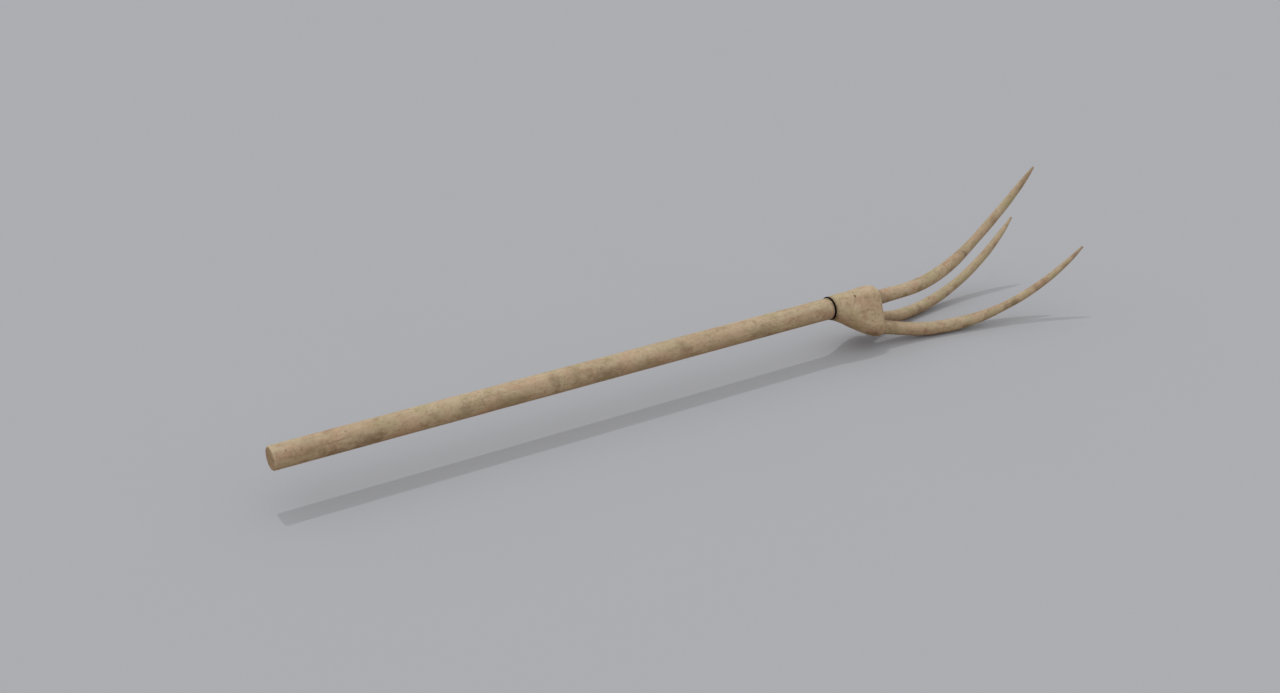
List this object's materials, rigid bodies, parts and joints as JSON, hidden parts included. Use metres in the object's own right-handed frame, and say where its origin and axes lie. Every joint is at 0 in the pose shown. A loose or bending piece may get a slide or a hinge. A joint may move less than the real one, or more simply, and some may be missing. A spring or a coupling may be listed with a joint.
{
  "type": "hay fork",
  "caption": "Wooden hay fork: a long round handle tenoned into a carved head block that holds a raised centre tine and a splayed lower pair, all curving upward.",
  "frame": {"origin": "centre of the flat butt face at the free end of the handle", "axes": "+X along the handle's axis towards the tines, +Z on the side that the tines curve to (up when the fork lies on its lower tines), +Y to the left"},
  "size_m": [1.5338, 0.1885, 0.2643],
  "materials": {
    "handle_wood": "worn, unfinished, mottled",
    "head_wood": "worn, unfinished, mottled",
    "tine_wood": "worn, unfinished, mottled, darker at the points",
    "peg_wood": "dark, driven flush",
    "ring_black": "blackened, matte"
  },
  "bodies": {
    "root": {"handle": "handle_wood", "handle_wedge": "peg_wood", "socket_ring": "ring_black", "head": "head_wood", "tine_top": "tine_wood", "tine_left": "tine_wood", "tine_right": "tine_wood", "handle_peg": "peg_wood", "top_tine_peg": "peg_wood", "left_tine_peg": "peg_wood", "right_tine_peg": "peg_wood"}
  },
  "joints": []
}
